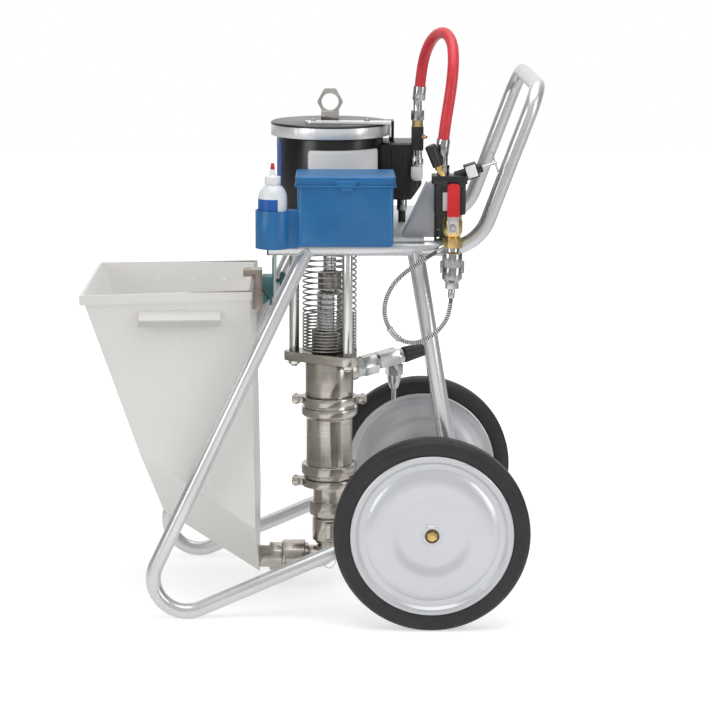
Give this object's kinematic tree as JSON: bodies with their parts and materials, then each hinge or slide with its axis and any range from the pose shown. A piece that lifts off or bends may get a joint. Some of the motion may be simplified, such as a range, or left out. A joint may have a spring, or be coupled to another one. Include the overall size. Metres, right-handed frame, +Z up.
{
  "type": "air-driven piston pump cart with hopper",
  "caption": "Air-driven reciprocating pump on a two-wheel tube cart, with a gravity hopper, toolbox, air controls and fluid outlet branch.",
  "frame": {"origin": "on the floor, under the middle of the cart's box without its hose and cable", "axes": "+Z up; -X the hopper end (front); +X the handle and wheel end; -Y the operator's side with toolbox and air controls; the pump stands in the plane Y = 0"},
  "size_m": [0.953, 0.674, 1.2324],
  "materials": {
    "frame_paint": "silver enamel on bent steel tube",
    "deck_paint": "silver enamel on steel plate",
    "black_plastic": "black moulded plastic",
    "tyre": "black semi-pneumatic rubber",
    "wheel_paint": "silver paint on pressed steel disc",
    "stainless_sheet": "brushed stainless sheet",
    "cast_stainless": "machined stainless",
    "plated_steel": "zinc plated steel",
    "hard_chrome": "ground and hard chromed rod",
    "motor_black": "black enamel",
    "band_silver": "bright band",
    "brass": "brass fittings",
    "blue_plastic": "blue moulded plastic",
    "red_vinyl": "red vinyl sleeve",
    "red_rubber": "red rubber air hose",
    "cable_steel": "stranded steel cable",
    "bottle_white": "translucent white bottle, red nozzle",
    "packing": "packing rings",
    "ball_steel": "hardened balls",
    "teal_paint": "painted clamp and brown block",
    "pump_paint": "black regulator"
  },
  "bodies": {
    "cart": {"air_hose": "red_rubber", "air_manifold": "brass", "air_valve_housing": "motor_black", "axle": "plated_steel", "ball_valve_body": "brass", "cart_legs": "frame_paint", "claw_coupling": "plated_steel", "coil_guard": "plated_steel", "control_brackets": "deck_paint", "cover_band": "band_silver", "deck_plate": "deck_paint", "handle_rail": "frame_paint", "hopper_handles": "stainless_sheet", "hopper_mount": "teal_paint", "hopper_outlet": "cast_stainless", "hopper_shell": "stainless_sheet", "hose_fittings": "plated_steel", "inlet_coupler": "cast_stainless", "inlet_elbow": "cast_stainless", "intake_coupler": "cast_stainless", "intake_housing": "cast_stainless", "lifting_eye": "plated_steel", "motor_barrel": "motor_black", "motor_base": "motor_black", "motor_cover": "motor_black", "outlet_fittings": "plated_steel", "outlet_housing": "cast_stainless", "pipe_clamps": "cast_stainless", "pump_cylinder": "cast_stainless", "pump_flange": "cast_stainless", "rail_plugs": "black_plastic", "regulator_body": "pump_paint", "regulator_head": "pump_paint", "safety_cable": "cable_steel", "throat_packing": "packing", "tie_rods": "plated_steel", "toolbox_body": "blue_plastic", "wet_cup": "cast_stainless"},
    "wheel_near": {"tyre_near": "tyre", "wheel_near": "wheel_paint"},
    "wheel_far": {"tyre_far": "tyre", "wheel_far": "wheel_paint"},
    "toolbox_lid": {"toolbox_lid": "blue_plastic"},
    "toolbox_latch": {"toolbox_latch": "blue_plastic"},
    "bottle": {"bottle": "bottle_white"},
    "hopper_knob": {"hopper_knob": "black_plastic"},
    "drain_knob": {"drain_knob": "black_plastic"},
    "tee_handle": {"tee_handle": "plated_steel"},
    "ball_valve_lever": {"ball_valve_lever": "red_vinyl"},
    "pump_rod": {"air_piston": "hard_chrome", "coupling_collar": "cast_stainless", "displacement_rod": "hard_chrome", "pump_piston": "cast_stainless"},
    "intake_ball": {"intake_ball": "ball_steel"},
    "piston_ball": {"piston_ball": "ball_steel"},
    "inlet_arm_near": {"inlet_arm_near": "cast_stainless"},
    "inlet_arm_far": {"inlet_arm_far": "cast_stainless"},
    "intake_arm_near": {"intake_arm_near": "cast_stainless"},
    "intake_arm_far": {"intake_arm_far": "cast_stainless"}
  },
  "joints": [
    {"name": "wheel_near_spin", "type": "hinge", "parent": "cart", "child": "wheel_near", "pos_m": [0.2505, -0.312, 0.2032], "axis": [0, 1, 0], "continuous": true},
    {"name": "wheel_far_spin", "type": "hinge", "parent": "cart", "child": "wheel_far", "pos_m": [0.2505, 0.312, 0.2032], "axis": [0, 1, 0], "continuous": true},
    {"name": "toolbox_lid_hinge", "type": "hinge", "parent": "cart", "child": "toolbox_lid", "pos_m": [0.07, -0.1807, 0.925], "axis": [-1, 0, 0], "range_deg": [0, 100]},
    {"name": "toolbox_latch_flip", "type": "hinge", "parent": "toolbox_lid", "child": "toolbox_latch", "pos_m": [0.0715, -0.328, 0.933], "axis": [-1, 0, 0], "range_deg": [0, 80]},
    {"name": "bottle_lift", "type": "slide", "parent": "cart", "child": "bottle", "axis": [0, 0, 1], "range_m": [0, 0.09]},
    {"name": "hopper_knob_turn", "type": "hinge", "parent": "cart", "child": "hopper_knob", "pos_m": [-0.0765, 0, 0.68], "axis": [1, 0, 0], "continuous": true},
    {"name": "drain_knob_turn", "type": "hinge", "parent": "cart", "child": "drain_knob", "pos_m": [0.19737, 0.07408, 0.50291], "axis": [0.8925, 0.4162, 0.1736], "range_deg": [0, 360]},
    {"name": "pressure_handle_turn", "type": "hinge", "parent": "cart", "child": "tee_handle", "pos_m": [0.37229, -0.275, 0.96657], "axis": [0.9511, 0, 0.309], "continuous": true},
    {"name": "air_shutoff_turn", "type": "hinge", "parent": "cart", "child": "ball_valve_lever", "pos_m": [0.287, -0.285, 0.84], "axis": [0, 1, 0], "range_deg": [0, 90]},
    {"name": "pump_stroke", "type": "slide", "parent": "cart", "child": "pump_rod", "axis": [0, 0, 1], "range_m": [-0.06, 0.06]},
    {"name": "intake_ball_lift", "type": "slide", "parent": "cart", "child": "intake_ball", "axis": [0, 0, 1], "range_m": [0, 0.006]},
    {"name": "piston_ball_lift", "type": "slide", "parent": "pump_rod", "child": "piston_ball", "axis": [0, 0, 1], "range_m": [0, 0.006]},
    {"name": "inlet_arm_near_swing", "type": "hinge", "parent": "cart", "child": "inlet_arm_near", "pos_m": [-0.0525, -0.033, 0.067], "axis": [0, 0, -1], "range_deg": [0, 100]},
    {"name": "inlet_arm_far_swing", "type": "hinge", "parent": "cart", "child": "inlet_arm_far", "pos_m": [-0.0525, 0.033, 0.067], "axis": [0, 0, 1], "range_deg": [0, 100]},
    {"name": "intake_arm_near_swing", "type": "hinge", "parent": "cart", "child": "intake_arm_near", "pos_m": [0.0385, -0.033, 0.146], "axis": [-1, 0, 0], "range_deg": [0, 100]},
    {"name": "intake_arm_far_swing", "type": "hinge", "parent": "cart", "child": "intake_arm_far", "pos_m": [0.0385, 0.033, 0.146], "axis": [1, 0, 0], "range_deg": [0, 100]}
  ]
}
